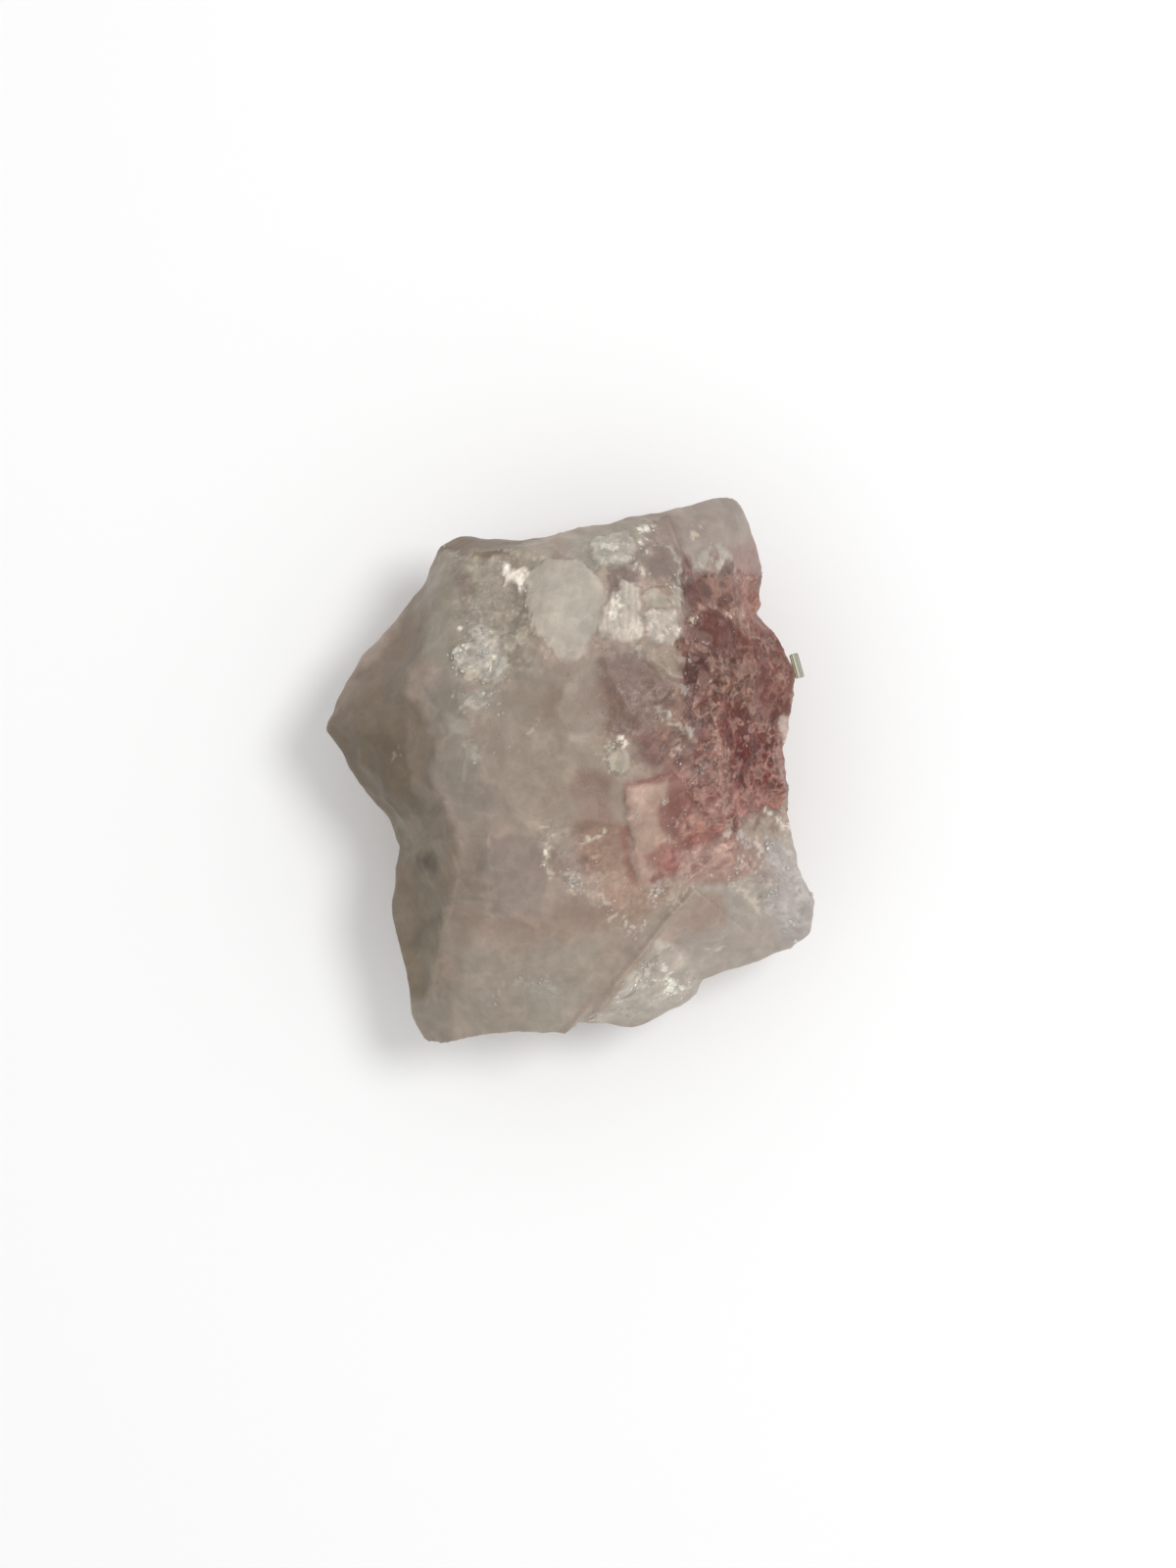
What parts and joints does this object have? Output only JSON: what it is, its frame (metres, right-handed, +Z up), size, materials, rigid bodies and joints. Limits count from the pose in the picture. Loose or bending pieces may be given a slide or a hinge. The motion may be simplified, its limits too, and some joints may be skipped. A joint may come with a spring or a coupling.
{
  "type": "tourmaline quartz cluster",
  "caption": "Rough chunk of milky quartz with a granular mass of pink tourmaline set in one side and a small striated prism at its edge, lying on a flat break.",
  "frame": {"origin": "under the middle of the cluster's bounding box, at the flat break that it rests on", "axes": "+Z up out of the broad face, +Y along the cluster's length, +X towards the tourmaline side"},
  "size_m": [0.0504, 0.0562, 0.0256],
  "materials": {
    "quartz": "milky greyish-pink quartz, glassy to frosted breaks",
    "tourmaline": "granular crimson and pink tourmaline, glinting facets",
    "side_prism": "silvery grey, striated along its length"
  },
  "bodies": {
    "root": {"quartz": "quartz", "tourmaline": "tourmaline", "side_prism": "side_prism"}
  },
  "joints": []
}
